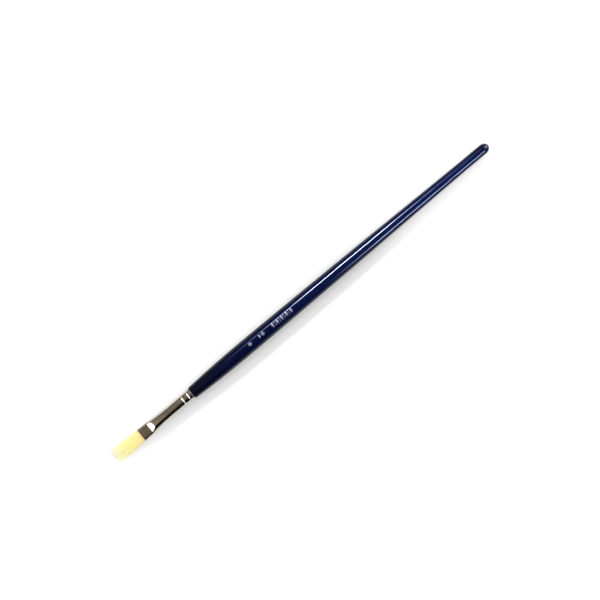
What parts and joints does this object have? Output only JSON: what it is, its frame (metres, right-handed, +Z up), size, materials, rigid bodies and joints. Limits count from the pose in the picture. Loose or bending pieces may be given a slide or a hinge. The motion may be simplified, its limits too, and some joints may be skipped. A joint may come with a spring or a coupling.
{
  "type": "paint brush",
  "caption": "Long-handled flat artist's paint brush with a lacquered tapered handle, a crimped pressed metal ferrule and a square-cut bristle tuft that flexes.",
  "frame": {"origin": "centre of the bounding box's lowest face: on the table, under the middle of the brush's length and under its long axis", "axes": "+X along the brush from the bristle tip to the end of the handle, +Y across the wide flat of the tuft, +Z up out of the wide flat"},
  "size_m": [0.29, 0.0098, 0.0099],
  "materials": {
    "navy_lacquer": "gloss",
    "nickel_plate": "satin",
    "hog_bristle": "matte",
    "linen_thread": "matte",
    "epoxy_resin": "gloss",
    "wood_glue": "matte"
  },
  "bodies": {
    "brush_body": {"handle": "navy_lacquer", "ferrule": "nickel_plate", "bristle_roots": "hog_bristle", "root_thread": "linen_thread", "setting_resin": "epoxy_resin", "handle_glue": "wood_glue"},
    "tuft_heel": {"bristle_heel": "hog_bristle"},
    "tuft_belly": {"bristle_belly": "hog_bristle"},
    "tuft_toe": {"bristle_toe": "hog_bristle"}
  },
  "joints": [
    {"name": "tuft_bend", "type": "hinge", "parent": "brush_body", "child": "tuft_heel", "pos_m": [-0.127, 0, 0.00495], "axis": [0, 1, 0], "range_deg": [-18, 18], "stiffness_Nm_per_rad": 0.003},
    {"name": "tuft_sway", "type": "hinge", "parent": "tuft_heel", "child": "tuft_belly", "pos_m": [-0.1315, 0, 0.00495], "axis": [0, 0, 1], "range_deg": [-10, 10], "stiffness_Nm_per_rad": 0.003},
    {"name": "tip_bend", "type": "hinge", "parent": "tuft_belly", "child": "tuft_toe", "pos_m": [-0.137, 0, 0.00495], "axis": [0, 1, 0], "range_deg": [-18, 18], "stiffness_Nm_per_rad": 0.001}
  ],
  "couplings": [
    {"joint": "tip_bend", "follows": "tuft_bend", "ratio": 1}
  ]
}
